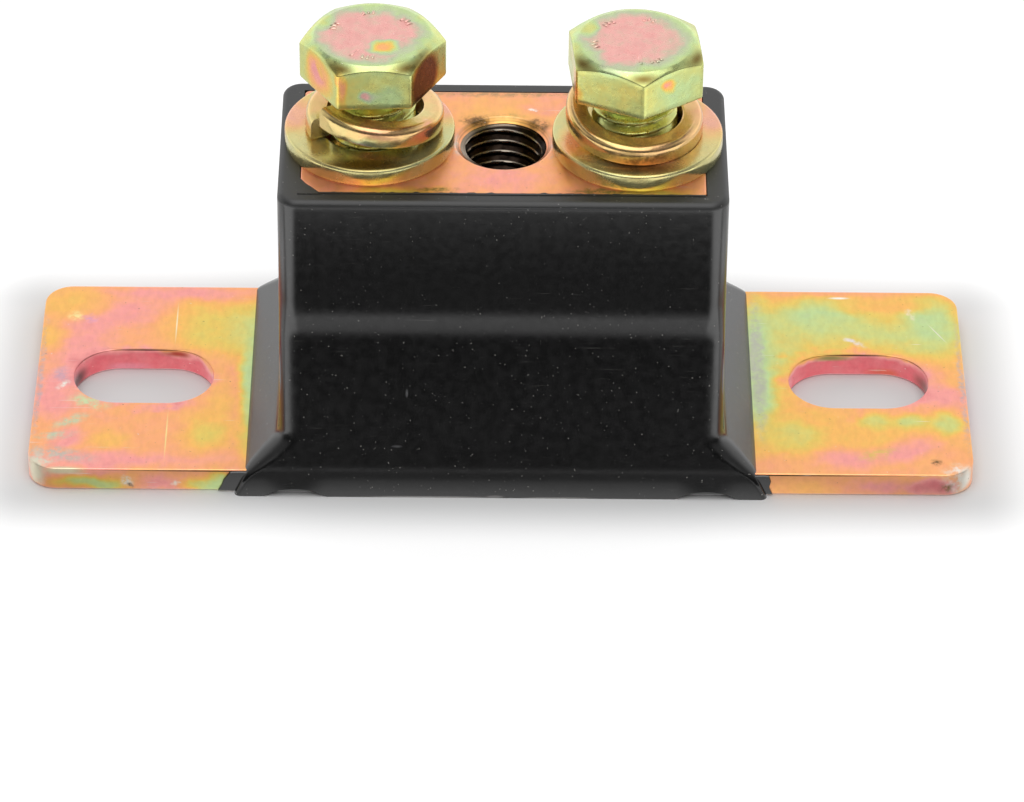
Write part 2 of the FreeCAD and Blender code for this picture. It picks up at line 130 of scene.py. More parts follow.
def rounded(corners, step=0.3):
    """Points along an open path; a corner with a third number is rounded by that radius."""
    path = []
    for i, corner in enumerate(corners):
        here = Vector(corner[:2])
        if len(corner) < 3:
            path.append(here)
            continue
        back = (Vector(corners[i - 1][:2]) - here).normalized()
        onward = (Vector(corners[i + 1][:2]) - here).normalized()
        half = back.angle(onward) / 2
        centre = here + (back + onward).normalized() * corner[2] / math.sin(half)
        start = here + back * corner[2] / math.tan(half) - centre
        sweep = start.angle_signed(here + onward * corner[2] / math.tan(half) - centre)
        count = max(3, int(abs(sweep) * corner[2] / step))
        for k in range(count + 1):
            turned = start.copy()
            turned.rotate(Matrix.Rotation(-sweep * k / count, 2))
            path.append(centre + turned)
    return path


def at_height(path, z):
    """The reach of a path of (reach, height) points at a height."""
    for a, b in zip(path, path[1:]):
        if min(a.y, b.y) - 1e-9 <= z <= max(a.y, b.y) + 1e-9 and a.y != b.y:
            return a.x + (b.x - a.x) * (z - a.y) / (b.y - a.y)
    return path[0].x if abs(z - path[0].y) < abs(z - path[-1].y) else path[-1].x


def box_ring(half_x, half_y, radius, along_x=150, along_y=80, corner=12):
    """Points round a rectangle with round corners, from its right-hand side, always the same count."""
    x, y = half_x - radius, half_y - radius
    centres = [(x, -y), (x, y), (-x, y), (-x, -y)]
    points = []
    for side in range(4):
        here, there = centres[side], centres[(side + 1) % 4]
        angle = side * math.pi / 2
        out_x, out_y = math.cos(angle) * radius, math.sin(angle) * radius
        run = along_x if side % 2 else along_y
        for k in range(run):
            t = k / run
            points.append((here[0] + (there[0] - here[0]) * t + out_x,
                           here[1] + (there[1] - here[1]) * t + out_y))
        for k in range(corner):
            turn = angle + math.pi / 2 * k / corner
            points.append((there[0] + radius * math.cos(turn), there[1] + radius * math.sin(turn)))
    return points


def box_outline(half_x, half_y, radius, along_x, along_y):
    """Points round a rectangle with round corners as a function of its growth."""
    def grown(by=0.0):
        return box_ring(half_x + by, half_y + by, max(radius + by, 0.02), along_x, along_y, 10)
    return grown


def slot_outline(cx, length, width, steps=28):
    """Points round a slot as a function of its growth."""
    reach = (length - width) / 2

    def grown(by=0.0):
        r = width / 2 + by
        points = []
        for side in (1, -1):
            for k in range(steps + 1):
                turn = (-math.pi / 2 if side > 0 else math.pi / 2) + math.pi * k / steps
                points.append((cx + side * reach + r * math.cos(turn), r * math.sin(turn)))
        return points
    return grown


def circle_outline(cx, cy, radius, steps=96):
    """Points round a circle as a function of its growth."""
    def grown(by=0.0):
        return [(cx + (radius + by) * math.cos(2 * math.pi * k / steps),
                 cy + (radius + by) * math.sin(2 * math.pi * k / steps)) for k in range(steps)]
    return grown


def plate_skin(outlines):
    """A plate between outlines, each with a profile of (growth, height) points from top to bottom."""
    work = bmesh.new()
    tops, bottoms = [], []
    for outline, profile in outlines:
        rings = []
        for growth, z in profile:
            rings.append([work.verts.new((x, y, z)) for x, y in outline(growth)])
        for a, b in zip(rings, rings[1:]):
            for j in range(len(a)):
                k = (j + 1) % len(a)
                work.faces.new((a[j], a[k], b[k], b[j]))
        for store, ring in ((tops, rings[0]), (bottoms, rings[-1])):
            store += [work.edges.get((ring[j], ring[(j + 1) % len(ring)])) for j in range(len(ring))]
    for edges in (tops, bottoms):
        bmesh.ops.triangle_fill(work, use_beauty=True, use_dissolve=False, edges=edges)
    work.verts.index_update()
    points = [tuple(v.co) for v in work.verts]
    faces = [tuple(v.index for v in f.verts) for f in work.faces]
    work.free()
    return points, faces


def rolled(top, radius, bottom, sign=1, lower=0.3):
    """A plate edge: flat rim, rolled upper edge, side and a small lower break; sign -1 is for a hole."""
    profile = [(-sign * (radius + 0.5), top), (-sign * (radius + 0.25), top)]
    for k in range(6):
        turn = math.pi / 2 * k / 5
        profile.append((-sign * radius * (1 - math.sin(turn)), top - radius * (1 - math.cos(turn))))
    return profile + [(0.0, bottom + lower), (-sign * lower, bottom), (-sign * (lower + 0.4), bottom)]


# Materials

def paint(code):
    """A colour code as linear red, green, blue, alpha."""
    parts = [int(code[i:i + 2], 16) / 255 for i in (1, 3, 5)]
    return tuple(c / 12.92 if c <= 0.04045 else ((c + 0.055) / 1.055) ** 2.4 for c in parts) + (1.0,)


def new_material(name):
    """An empty material and its node tree with an output."""
    material = bpy.data.materials.new(name)
    material.use_nodes = True
    tree = material.node_tree
    tree.nodes.clear()
    return material, tree


def add(tree, kind, feeds=None, out=0, **options):
    """One node with its options set and its inputs fed; gives back one of its outputs."""
    node = tree.nodes.new(kind)
    for key, value in options.items():
        setattr(node, key, value)
    for name, value in (feeds or {}).items():
        if isinstance(value, bpy.types.NodeSocket):
            tree.links.new(value, node.inputs[name])
        else:
            node.inputs[name].default_value = value
    return node.outputs[out]


def ramp(tree, value, stops):
    """A colour ramp through (place, colour code) stops."""
    node = tree.nodes.new("ShaderNodeValToRGB")
    elements = node.color_ramp.elements
    while len(elements) < len(stops):
        elements.new(0.5)
    for element, (place, code) in zip(elements, stops):
        element.position = place
        element.color = paint(code)
    tree.links.new(value, node.inputs[0])
    return node.outputs[0]


def blend(tree, factor, a, b, kind="RGBA"):
    """One value or colour over another."""
    first, second, result = {"RGBA": (6, 7, 2), "FLOAT": (2, 3, 0)}[kind]
    return add(tree, "ShaderNodeMix", {0: factor, first: a, second: b}, out=result, data_type=kind)


def between(tree, value, low, high, to_low=0.0, to_high=1.0):
    """A value eased from one span to another."""
    return add(tree, "ShaderNodeMapRange", {0: value, 1: low, 2: high, 3: to_low, 4: to_high},
               interpolation_type="SMOOTHSTEP")


def product(tree, first, second):
    """Two values multiplied."""
    return add(tree, "ShaderNodeMath", {0: first, 1: second}, operation="MULTIPLY")


def millimetres(tree):
    """The place on the piece in millimetres."""
    place = add(tree, "ShaderNodeTexCoord", out="Object")
    return add(tree, "ShaderNodeVectorMath", {0: place, "Scale": 1 / MM}, operation="SCALE")


def grain(tree, place, size, detail=3.0, roughness=0.5, stretch=(1, 1, 1), offset=(0, 0, 0)):
    """Noise with features of a size in millimetres, from 0 to 1."""
    moved = add(tree, "ShaderNodeMapping", {0: place, 1: offset, 3: stretch})
    return add(tree, "ShaderNodeTexNoise", {0: moved, "Scale": 1 / size, "Detail": detail,
                                            "Roughness": roughness})


def warped(tree, place, size, reach):
    """The place shifted about softly."""
    drift = add(tree, "ShaderNodeTexNoise", {0: place, "Scale": 1 / size, "Detail": 3.0}, out="Color")
    centred = add(tree, "ShaderNodeVectorMath", {0: drift, 1: (0.5, 0.5, 0.5)}, operation="SUBTRACT")
    scaled = add(tree, "ShaderNodeVectorMath", {0: centred, "Scale": reach}, operation="SCALE")
    return add(tree, "ShaderNodeVectorMath", {0: place, 1: scaled}, operation="ADD")


def spot(tree, place, centre, radii, angle=0, soft=0.85):
    """A soft spot, 1 at its middle and 0 from its rim outwards; its long axis may be turned about Z."""
    inside = add(tree, "ShaderNodeMapping", {0: place, 1: centre, 2: (0, 0, math.radians(angle)), 3: radii},
                 vector_type="TEXTURE")
    distance = add(tree, "ShaderNodeVectorMath", {0: inside}, out="Value", operation="LENGTH")
    return between(tree, distance, 1.0, 1.0 - soft)


TINTS = [(0.0, "#e4656f"), (0.08, "#ea8a8c"), (0.18, "#fba69f"), (0.30, "#ffb27c"), (0.42, "#fcc068"),
         (0.52, "#edce68"), (0.62, "#d6d884"), (0.72, "#c5dc9b"), (0.82, "#c3caa8"), (0.92, "#f2b4ab"),
         (1.0, "#ee9c98")]
PALE_TINTS = [(0.0, "#c98a78"), (0.18, "#f0b3a2"), (0.30, "#f0b688"), (0.42, "#e9c382"), (0.52, "#dfcb88"),
              (0.62, "#d6d093"), (0.72, "#cbd09c"), (0.82, "#d2c4ac"), (1.0, "#ecb6aa")]


def plating(name, base, spots, scuffs_shade_and_reflections=(), scratches_and_painted_shade=(), swing=0.24, roughness=0.34, dark=0.5, grainy=0.8,
            tints=TINTS):
    """Yellow zinc plating: soft patches from pink to green, mottled, specked and lightly scratched, with the
    given scuff and scratch marks, some of which are painted shade and painted reflections.
    """
    material, tree = new_material(name)
    place = millimetres(tree)
    bent = warped(tree, place, 5.0, 3.5)
    tint = add(tree, "ShaderNodeMath", {0: grain(tree, bent, 8.0), 1: swing, 2: base - swing / 2},
               operation="MULTIPLY_ADD")
    for centre, radii, value, *options in spots:
        tint = blend(tree, spot(tree, bent, centre, radii, *options), tint, value, "FLOAT")
    mottle = grain(tree, place, 2.2, 6.0, 0.6)
    tint = add(tree, "ShaderNodeMath", {0: mottle, 1: 0.22 * grainy, 2: tint}, operation="MULTIPLY_ADD")
    tint = add(tree, "ShaderNodeMath", {0: tint, 1: 0.11 * grainy}, operation="SUBTRACT")
    colour = ramp(tree, tint, tints)
    crumbs = between(tree, grain(tree, place, 1.3, 5.0, 0.75, offset=(9, 31, 5)), 0.38, 0.60, 0.15, 1.0)
    crumbled = warped(tree, place, 1.2, 1.6)
    for centre, radii, code, *options in scuffs_shade_and_reflections:
        shape = spot(tree, crumbled, centre, radii, *options)
        colour = blend(tree, product(tree, shape, crumbs), colour, paint(code))
    for centre, radii, code, *options in scratches_and_painted_shade:
        colour = blend(tree, spot(tree, place, centre, radii, *options), colour, paint(code))
    shade = between(tree, grain(tree, place, 0.9, 5.0, 0.55, (1, 0.4, 1)), 0.3, 0.7, 0.95, 1.03)
    colour = add(tree, "ShaderNodeVectorMath", {0: colour, "Scale": shade}, operation="SCALE")
    specks = between(tree, grain(tree, place, 0.5, 2.0), 0.70, 0.80, 0.0, dark)
    colour = blend(tree, specks, colour, paint("#5a4a2c"))
    pale = between(tree, grain(tree, place, 0.5, 2.0, offset=(40, 7, 3)), 0.72, 0.80)
    hairs = between(tree, grain(tree, place, 0.35, 2.0, stretch=(0.05, 1.0, 1.0)), 0.72, 0.78)
    worn = add(tree, "ShaderNodeMath", {0: pale, 1: hairs}, operation="MAXIMUM")
    colour = blend(tree, product(tree, worn, 0.5), colour, paint("#f1ece0"))
    rough = between(tree, grain(tree, place, 1.6), 0.3, 0.7, roughness - 0.05, roughness + 0.07)
    height = add(tree, "ShaderNodeMath", {0: grain(tree, place, 0.5, 4.0), 1: 0.35,
                                          2: grain(tree, place, 2.2)}, operation="MULTIPLY_ADD")
    relief = add(tree, "ShaderNodeBump", {"Height": height, "Distance": 0.05 * MM, "Strength": 0.5})
    skin = add(tree, "ShaderNodeBsdfPrincipled", {"Base Color": colour, "Metallic": 0.84, "Roughness": rough,
                                                  "Normal": relief})
    tree.links.new(skin, tree.nodes.new("ShaderNodeOutputMaterial").inputs[0])
    return material


def cut_thread():
    """Bare, oily steel of a cut thread: dark all over, with a painted highlight in pale grey on the crests
    and a lighter grey band at its top.
    """
    material, tree = new_material("Bare oily steel of the cut thread")
    place = millimetres(tree)
    flat = add(tree, "ShaderNodeVectorMath", {0: place, 1: (1, 1, 0)}, operation="MULTIPLY")
    reach = add(tree, "ShaderNodeVectorMath", {0: flat}, out="Value", operation="LENGTH")
    tone = ramp(tree, grain(tree, place, 1.2, 4.0), [(0.3, "#0c0806"), (0.7, "#2a211b")])
    # Painted highlight: pale grey on the crests of the thread
    tone = blend(tree, between(tree, reach, 5.5, 5.36), tone, paint("#958b7e"))
    parts = tree.nodes.new("ShaderNodeSeparateXYZ")
    tree.links.new(place, parts.inputs[0])
    tone = blend(tree, between(tree, parts.outputs[2], 42.9, 43.15), tone, paint("#8f8070"))
    skin = add(tree, "ShaderNodeBsdfPrincipled", {"Base Color": tone, "Metallic": 1.0, "Roughness": 0.24})
    tree.links.new(skin, tree.nodes.new("ShaderNodeOutputMaterial").inputs[0])
    return material


def moulded_rubber(marks):
    """Semi-gloss black rubber with a light bloom, fine scratch lines and pale specks, and the marks given to
    it, which include painted highlights.
    """
    material, tree = new_material("Moulded black rubber")
    place = millimetres(tree)
    tone = ramp(tree, grain(tree, place, 3.0, 4.0), [(0.3, "#050505"), (0.7, "#090909")])
    bloom = between(tree, grain(tree, place, 0.8, 5.0, 0.65), 0.60, 0.85, 0.0, 0.010)
    tone = blend(tree, bloom, tone, paint("#6b6a68"))
    specks = between(tree, grain(tree, place, 0.33, 1.0), 0.74, 0.79)
    tone = blend(tree, specks, tone, paint("#8d8b86"))
    hairs = between(tree, grain(tree, place, 0.3, 2.0, stretch=(0.04, 1.0, 1.0)), 0.66, 0.76)
    parts = tree.nodes.new("ShaderNodeSeparateXYZ")
    tree.links.new(place, parts.inputs[0])
    beside = add(tree, "ShaderNodeMath", {0: parts.outputs[0]}, operation="ABSOLUTE")
    patches = between(tree, grain(tree, place, 7.0), 0.45, 0.6)
    patches = product(tree, patches, between(tree, beside, 31.0, 29.0))
    hairs = product(tree, product(tree, hairs, patches), 0.12)
    tone = blend(tree, hairs, tone, paint("#8d8b86"))
    for centre, radii, code, *options in marks:
        tone = blend(tree, spot(tree, place, centre, radii, *options), tone, paint(code))
    rough = between(tree, grain(tree, place, 1.2, 4.0), 0.3, 0.7, 0.18, 0.24)
    height = add(tree, "ShaderNodeMath", {0: grain(tree, place, 0.3, 3.0), 1: 0.2,
                                          2: grain(tree, place, 6.0, 2.0)}, operation="MULTIPLY_ADD")
    rough = blend(tree, between(tree, parts.outputs[2], 43.0, 43.3), rough, 0.5, "FLOAT")
    relief = add(tree, "ShaderNodeBump", {"Height": height, "Distance": 0.05 * MM, "Strength": 0.3})
    skin = add(tree, "ShaderNodeBsdfPrincipled", {"Base Color": tone, "Roughness": rough, "IOR": 1.75,
                                                  "Normal": relief})
    tree.links.new(skin, tree.nodes.new("ShaderNodeOutputMaterial").inputs[0])
    return material


# Places of the tints along the ramp
ROSE, PINK, ORANGE, AMBER, YELLOW = 0.08, 0.18, 0.30, 0.42, 0.52
LIME, GREEN, GREY, BLUSH = 0.62, 0.72, 0.80, 0.92

# Marks on the plating: centre and reach in millimetres, tint or colour, turn about Z, softness of the rim
FRONT_Z = TOP / 2 - 0.5

# Base plate: pink and orange wings that turn yellow and green towards the block
plate_spots = [
    ((-51, 12, TOP), (26, 14, 9), ORANGE), ((-42, 12, TOP), (10, 11, 9), YELLOW),
    ((-37.6, 12, TOP), (4.4, 11, 9), 0.57), ((-35.4, -1, TOP), (2.8, 26, 9), GREEN),
    ((-56, 14.5, TOP), (13, 5, 9), PINK, 32), ((-47, 20.8, TOP), (16, 2.6, 9), PINK),
    ((-60, 6, TOP), (7, 11, 9), PINK, 12), ((-63.5, -5, TOP), (5, 10, 9), PINK),
    ((-63.4, 18.4, TOP), (8, 7, 9), AMBER), ((-65, 10, TOP), (4, 5, 9), AMBER),
    ((-50, -14, TOP), (14, 8, 9), ORANGE), ((-55.6, -15.6, TOP), (5, 4, 9), AMBER),
    ((-41.5, -13.6, TOP), (6, 7, 9), YELLOW), ((-40, -5, TOP), (2.5, 10, 9), AMBER),
    ((-56, -20.4, TOP), (20, 3.2, 9), PINK), ((-61.5, -15.5, TOP), (5, 3, 9), PINK, 40),
    ((50, 10, TOP), (30, 19, 9), YELLOW), ((46, 15.4, TOP), (11, 7, 9), GREEN),
    ((53, 12.4, TOP), (11, 4.6, 9), LIME, -14), ((62.3, 14, TOP), (7, 11, 9), GREEN),
    ((56, 18.6, TOP), (10, 2.6, 9), AMBER), ((37.0, 2, TOP), (4.6, 27, 9), GREY),
    ((41, 3, TOP), (5, 14, 9), LIME), ((50, -14, TOP), (24, 9, 9), AMBER),
    ((41.5, -12.6, TOP), (7, 8, 9), 0.56), ((53, -9.6, TOP), (4, 3.2, 9), 0.58),
    ((45, -8, TOP), (9, 5, 9), AMBER),
    ((58.2, -10, TOP), (4, 3.4, 9), LIME), ((63.2, -10.4, TOP), (4, 4.6, 9), LIME),
    ((63.4, -3.6, TOP), (7, 4, 9), PINK, -28), ((49, -18.8, TOP), (8, 3.6, 9), PINK),
    ((57.4, -16.6, TOP), (8, 4, 9), PINK, 24), ((38, -20.5, TOP), (4, 4, 9), ORANGE),
    ((63, -18, TOP), (4, 3.4, 9), ORANGE), ((51, 22.2, TOP), (18, 1.3, 9), ORANGE),
]
for side in (-1, 1):
    plate_spots.append(((side * 57.6, 0, TOP), (9, 8.6, 1.6), PINK))
    plate_spots.append(((side * 45.4, 0, TOP), (8, 8.6, 1.6), ORANGE))
    # Deep pink on the slot walls: partly their own tint, partly painted shade
    plate_spots.append(((side * SLOT_X, 0, 0.6), (22, 15, 3.6), 0.035, 0, 0.35))
# Base plate: its front face
plate_spots += [((-57, FRONT, FRONT_Z), (9, 2, 2.1), 0.68), ((-47.5, FRONT, FRONT_Z), (7, 2, 2.1), PINK),
                ((-40.5, FRONT, FRONT_Z), (7, 2, 2.1), GREEN), ((42, FRONT, FRONT_Z), (8, 2, 2.1), 0.36),
                ((53, FRONT, FRONT_Z), (6, 2, 2.1), PINK), ((61, FRONT, FRONT_Z), (6, 2, 2.1), ROSE)]
# Base plate: worn and powdery places, and a painted reflection in pale pink-white under the rubber arches
plate_scuffs_and_reflection = [
    ((-58.6, -6.4, TOP), (4.2, 2.2, 2), "#cddfae", -25), ((-61.0, -11.0, TOP), (4.2, 1.5, 2), "#cdd2ae", 32),
    ((-63.2, -14.6, TOP), (4.2, 1.4, 2), "#c9ceb2", 10), ((-62.0, -19.0, TOP), (7, 2.2, 2), "#c9bdb0", -14),
    ((-62.9, 0.2, TOP), (2.4, 2.8, 2), "#d8a8b4"), ((-62.6, -2.2, TOP), (0.8, 1.8, 2), "#f4efe4", -35),
    ((-61.8, 14.8, TOP), (1.6, 1.8, 2), "#ffe7a0"), ((-59.6, 14.2, TOP), (1.8, 1.5, 2), "#eba6bd"),
    ((-65.0, -20.6, TOP), (3.4, 3.2, 3), "#d7d8c6"), ((-52.4, FRONT, 1.5), (1.5, 1.5, 1.4), "#eceadf"),
    ((-51.9, FRONT, 1.0), (0.7, 1.5, 0.8), "#2c2a24"), ((-45.6, FRONT, 1.2), (0.8, 1.5, 0.7), "#f1ecdc"),
    ((-65.2, -21.4, 1.2), (2.0, 2.4, 1.8), "#e2d9c2"),
    ((51.2, 9.6, TOP), (2.6, 0.8, 2), "#efe6ea", -38),
    ((59.5, 16.7, TOP), (0.8, 1.9, 2), "#f6e4cc", 20), ((53.1, -17.6, TOP), (4.2, 1.6, 2), "#e6c06c", 22),
    ((64.4, -21.6, 2.4), (3.4, 2.6, 3.2), "#f6f4ea"), ((61.4, -19.6, TOP), (1.0, 1.0, 2), "#5f5230"),
    ((62.4, -22.4, 1.3), (1.2, 1.5, 1.1), "#8a6f43"), ((36.9, 4, TOP), (1.5, 24, 2), "#bdbfae"),
]
plate_scuffs_and_reflection += [((side * (PLATE_X - 0.5), -2, 2.2), (0.8, 24, 3), "#bdb3bb") for side in (-1, 1)]
# Painted reflection: pale pink-white on the plate's front under the rubber arches
plate_scuffs_and_reflection += [((side * ARCH_X, FRONT, 0), (6.5, 1, 1.3), "#ece4e0") for side in (-1, 1)]
# Base plate: worn corners, tinted slot walls, painted shade at the slots' outer ends, dark lines of painted
# shade along the front edge and the slots' rear edges, and fine scratch lines
plate_scratches_and_shade = [((-65.8, -21.6, 2.4), (2.6, 2.4, 2.8), "#e8dfc4", 0, 0.7),
                   ((-61.4, FRONT, 3.3), (4.0, 0.8, 0.9), "#dccfae", 0, 0.7),
                   ((65.6, -21.6, 2.2), (1.8, 1.8, 2.4), "#efe9dc", 0, 0.7),
                   # Painted shade: dark brown at the outer ends of the slots
                   ((60.4, 1, 1.2), (2.6, 5.4, 2.1), "#8a4038"),
                   ((-60.8, 2, 1.2), (2.2, 5.0, 2.1), "#6b3134"),
                   ((47.5, 6.5, 3.0), (4.5, 1, 0.7), "#a0925c"), ((-46, 6.5, 2.9), (5, 1, 0.8), "#b04a3e"),
                   ((56, 6.5, 0.6), (5, 1, 1.0), "#e06a58"), ((-54, 6.5, 0.6), (5, 1, 1.0), "#e88a96"),
                   # Painted shade: dark lines along the front edge and along the slots' rear edges
                   ((0, FRONT, 3.36), (64.5, 0.3, 0.16), "#5a4a2e", 0, 0.35),
                   ((-51.2, 6.55, 3.5), (8.5, 0.3, 0.2), "#54392a"),
                   ((51.2, 6.55, 3.5), (8.5, 0.3, 0.2), "#54392a"),
                   ((-47.1, 13.2, TOP), (0.16, 6.2, 2), "#ffedc4"),
                   ((-47.3, -14.2, TOP), (0.16, 7.4, 2), "#ffe49a"),
                   ((49.3, 20.8, TOP), (2.0, 0.4, 2), "#fffdf2"),
                   ((63.2, 12, TOP), (0.12, 3.4, 2), "#efe9da", 28)]

# Top plate: orange, with brown rings at the mouth of the middle hole that darken towards the hole, and
# painted shade in front of the washers
top_spots = [((0, 6, INSERT_TOP), (12, 9, 6), 0.38), ((0, -9, INSERT_TOP), (9, 4, 6), 0.22),
             ((-14, -12.4, INSERT_TOP), (9, 1.6, 6), YELLOW),
             ((20, -12.4, INSERT_TOP), (9, 1.6, 6), YELLOW), ((6, 9, INSERT_TOP), (5, 3, 6), 0.26)]
top_scuffs_and_shade = [((0, 12.4, INSERT_TOP), (26, 1.0, 1), "#c79a6e"),
              ((4.1, 8.4, INSERT_TOP), (0.9, 0.4, 1), "#fffaf0"),
              # Painted shade: olive brown on the strip in front of the washers
              ((-9, -11.9, INSERT_TOP), (4, 0.9, 1), "#8a7a3f"),
              ((14, -12.1, INSERT_TOP), (7, 0.8, 1), "#9a8a4c")]
top_rings = [((0, 0, 43.95), (7.0, 7.0, 0.34), "#c4b09a", 0, 0.12),
             ((0, 0, 43.85), (6.85, 6.85, 0.6), "#8d6f4c", 0, 0.1),
             ((0, 0, 43.6), (6.6, 6.6, 0.45), "#55402c", 0, 0.1),
             ((0, -12.98, 43.7), (70, 0.42, 0.8), "#5d5530")]
top_scuffs_and_shade += [((-3.6, 5.6, 43.8), (3.4, 1.9, 0.9), "#5b4426"),
               ((4.9, 4.5, 43.8), (2.4, 2.4, 0.9), "#6a5130"),
               ((0.4, 6.7, 43.9), (3.6, 0.9, 0.7), "#d0a963"),
               ((-6.5, -0.8, 43.9), (0.9, 4.4, 0.8), "#d6c8b8"),
               ((6.5, -1.0, 43.9), (0.9, 4.2, 0.8), "#dcb4a6"),
               ((0, -6.6, 43.9), (4.0, 0.5, 0.5), "#c79f7c")]

# Heads: pink crowns inside green rims, faces from yellow green to pink, with painted shade on the left head's
# right flank and at the chamfer corners that face the front
bolt_spots = []
bolt_scuffs = []
# Painted shade: dark red brown on the left head's right flank
bolt_shades = [((-11, -5.0, 57.6), (3.4, 5.4, 4.6), "#6a3c28", 0, 0.4)]
for x, z, turn in ((-BOLT_X, LEFT_HEAD_TOP, LEFT_HEAD_TURN), (BOLT_X, RIGHT_HEAD_TOP, RIGHT_HEAD_TURN)):
    bolt_spots += [((x, 0, z), (16, 16, 3), GREEN), ((x - 0.4, 0.2, z), (10.0, 9.8, 1.7), BLUSH, 0, 0.5),
                   ((x - 6.6, 3, z), (2.4, 3, 1.4), LIME)]
    for k in range(6):
        corner = math.radians(turn + 60 * k)
        if math.sin(corner) < -0.2:
            # Painted shade: olive brown at the chamfer corners that face the front
            bolt_shades.append(((x + 8.9 * math.cos(corner), 8.9 * math.sin(corner), z - 0.75),
                                (3.6, 3.6, 0.75), "#7c6a34", 0, 1.0))
bolt_spots += [((-16.3, -3.4, LEFT_HEAD_TOP), (3.4, 2.2, 1.2), 0.32),
               ((-18.1, -9, 58), (5.6, 3, 3.4), LIME), ((-22.4, -8.6, 58), (1.3, 2, 4), ORANGE),
               ((-16, -9, 57), (2.4, 2, 2.2), GREEN), ((-18.1, -9, 57.2), (1.7, 2, 1.2), BLUSH),
               ((-26, -4.6, 57.6), (4, 4.4, 4), PINK), ((-25.4, -5.4, 58.6), (1.2, 1.2, 1.6), AMBER),
               ((-11, -5.2, 57.8), (3.6, 5, 4.4), ROSE),
               ((12.6, -7.6, 57), (5.5, 5, 3.4), LIME), ((9.4, -5.4, 57), (1.6, 3, 3.4), ORANGE),
               ((23, -6.4, 57), (5.5, 6, 4), GREEN), ((22.4, -7, 58), (1.6, 3, 1.5), PINK)]
bolt_scuffs.append(((-10.6, -4.4, 57.4), (1.6, 2.2, 2.6), "#b5663a"))

# Washers: yellow green with pink sides, brown where the spring washers shade them
washer_spots = [((-18.6, 0.5, FLAT_WASHER_TOP), (15, 15, 4), LIME),
                ((-29, 3, FLAT_WASHER_TOP), (5, 8, 3), 0.24),
                ((-8.4, 5, FLAT_WASHER_TOP), (3.4, 6, 3), 0.22),
                ((-18.6, -7.6, FLAT_WASHER_TOP), (7, 3.4, 1), 0.34),
                ((18.6, 0, FLAT_WASHER_TOP), (15, 15, 4), 0.47),
                ((28.6, 3, FLAT_WASHER_TOP), (4.4, 8, 3), 0.22),
                ((9.4, -4, FLAT_WASHER_TOP), (4, 6, 3), 0.28),
                ((20, -8.4, FLAT_WASHER_TOP), (7, 3.2, 1.2), 0.24),
                ((18.6, -11.6, 45), (10, 3, 1.4), LIME), ((-18.6, -11, 45), (10, 3, 1.4), YELLOW)]
washer_shades = [((-19, -9.6, FLAT_WASHER_TOP), (8.5, 2.6, 0.4), "#86692f", 0, 0.8),
                 ((19, -10, FLAT_WASHER_TOP), (7, 1.9, 0.4), "#b0814a")]
# Painted reflection: the left spring washer's front paler and the right one's front darker
spring_spots = [((-20, -9.5, 48.6), (8, 3, 2.2), 0.82), ((-11, -6, 49.5), (3, 4, 2), 0.24),
                ((18.1, -9.5, 48.6), (8, 3, 2.2), 0.4), ((-24, -6, 51), (3, 4, 2), 0.5)]
spring_scuffs_and_reflection = [((19, -9.6, 47.6), (7, 1.4, 1.3), "#7d6a4a"), ((-12, -8.4, 47.6), (3, 1.6, 1.0), "#9a7a52")]

# Rubber: a nick and a pale mark on the front, a pale flash line at the foot, a grey line along the front of
# the rim and a painted highlight in grey down the upright corners
rubber_marks = [((-14.6, -21.0, 7.4), (1.5, 1.2, 0.35), "#6b6b6d", 0, 0.6),
                ((-13.2, -18.5, 14.6), (0.3, 1.5, 0.9), "#5c5c5e", 0, 0.6),
                ((-10, -HEM_Y, 0.1), (11, 1, 0.16), "#8a8886", 0, 0.5),
                ((8, -HEM_Y, 0.1), (6, 1, 0.13), "#7c7a78", 0, 0.5),
                ((-0.8, -HEM_Y, 0.2), (1.6, 1, 0.3), "#6c6a68", 0, 0.6),
                ((0, -BLOCK_Y, 43.3), (29, 0.5, 0.12), "#3a3a3c"),
                # Painted highlight: grey strips down the upright corners
                ((-30.4, -14.8, 35), (0.4, 1, 9), "#4a4a4c"), ((30.4, -14.8, 36), (0.4, 1, 8), "#4a4a4c")]

# Yellow zinc plating: a thin film over steel that shimmers from pink over orange to green
zinc_plate = plating("Yellow zinc plating of the base plate", ORANGE, plate_spots, plate_scuffs_and_reflection,
                     plate_scratches_and_shade, swing=0.18, grainy=0.6)
zinc_insert = plating("Yellow zinc plating of the top plate", 0.27, top_spots, top_scuffs_and_shade, top_rings,
                      swing=0.2)
zinc_bolt = plating("Yellow zinc plating of the bolts", LIME, bolt_spots, bolt_scuffs, bolt_shades,
                    roughness=0.26)
zinc_washer = plating("Pale yellow zinc plating of the washers", LIME, washer_spots, scratches_and_painted_shade=washer_shades,
                      swing=0.5, roughness=0.22, tints=PALE_TINTS)
zinc_spring = plating("Yellow zinc plating of the spring washers", 0.4, spring_spots, spring_scuffs_and_reflection,
                      swing=0.6, roughness=0.19, tints=PALE_TINTS)
# Bare oily steel in the cut threads, and semi-gloss moulded rubber
bare_thread = cut_thread()
rubber = moulded_rubber(rubber_marks)


# Base plate and top plate

piece("Base_plate", *plate_skin([
    (box_outline(PLATE_X, PLATE_Y, PLATE_CORNER, 125, 37), rolled(TOP, 0.22, 0.0)),
    (slot_outline(-SLOT_X, SLOT_LENGTH, SLOT_WIDTH), rolled(TOP, 0.18, 0.0, -1)),
    (slot_outline(SLOT_X, SLOT_LENGTH, SLOT_WIDTH), rolled(TOP, 0.18, 0.0, -1))]),
    zinc_plate, "zinc_plate", "base_plate")

